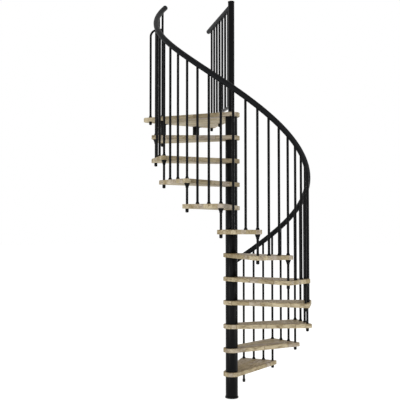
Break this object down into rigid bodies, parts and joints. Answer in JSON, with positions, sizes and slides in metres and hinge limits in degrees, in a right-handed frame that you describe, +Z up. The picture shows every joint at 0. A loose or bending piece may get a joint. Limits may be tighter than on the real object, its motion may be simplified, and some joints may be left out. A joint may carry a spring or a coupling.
{
  "type": "spiral staircase",
  "caption": "Kit spiral staircase: steel centre column with spacer sleeves, wooden wedge treads, landing, rod balusters and a helical handrail.",
  "frame": {"origin": "middle of the base flange's underside, on the lower floor and on the column's axis", "axes": "+Z up the column; +Y away from the side the picture is taken from; +X to that viewer's right"},
  "size_m": [1.6151, 1.6579, 3.7783],
  "materials": {
    "black_steel": "satin black powder coat",
    "charcoal_rail": "satin charcoal coat",
    "black_caps": "moulded black plastic",
    "laminated_hardwood": "laminated staves under a matt clear coat"
  },
  "bodies": {
    "root": {"base_flange": "black_steel", "centre_pole": "black_steel", "pole_cap": "black_caps", "spacer_sleeves": "black_steel", "tread_01": "laminated_hardwood", "tread_02": "laminated_hardwood", "tread_03": "laminated_hardwood", "tread_04": "laminated_hardwood", "tread_05": "laminated_hardwood", "tread_06": "laminated_hardwood", "tread_07": "laminated_hardwood", "tread_08": "laminated_hardwood", "tread_09": "laminated_hardwood", "tread_10": "laminated_hardwood", "tread_11": "laminated_hardwood", "landing": "laminated_hardwood", "tread_01_balusters": "black_steel", "tread_02_balusters": "black_steel", "tread_03_balusters": "black_steel", "tread_04_balusters": "black_steel", "tread_05_balusters": "black_steel", "tread_06_balusters": "black_steel", "tread_07_balusters": "black_steel", "tread_08_balusters": "black_steel", "tread_09_balusters": "black_steel", "tread_10_balusters": "black_steel", "tread_11_balusters": "black_steel", "landing_baluster": "black_steel", "baluster_collars": "black_caps", "baluster_end_caps": "black_caps", "handrail": "charcoal_rail", "handrail_plugs": "black_caps", "landing_rail": "charcoal_rail", "landing_lower_bar": "black_steel", "landing_guard_balusters": "black_steel", "end_post": "black_steel", "floor_bracket_near_post": "black_steel", "floor_bracket_near_guard": "black_steel"}
  },
  "joints": []
}
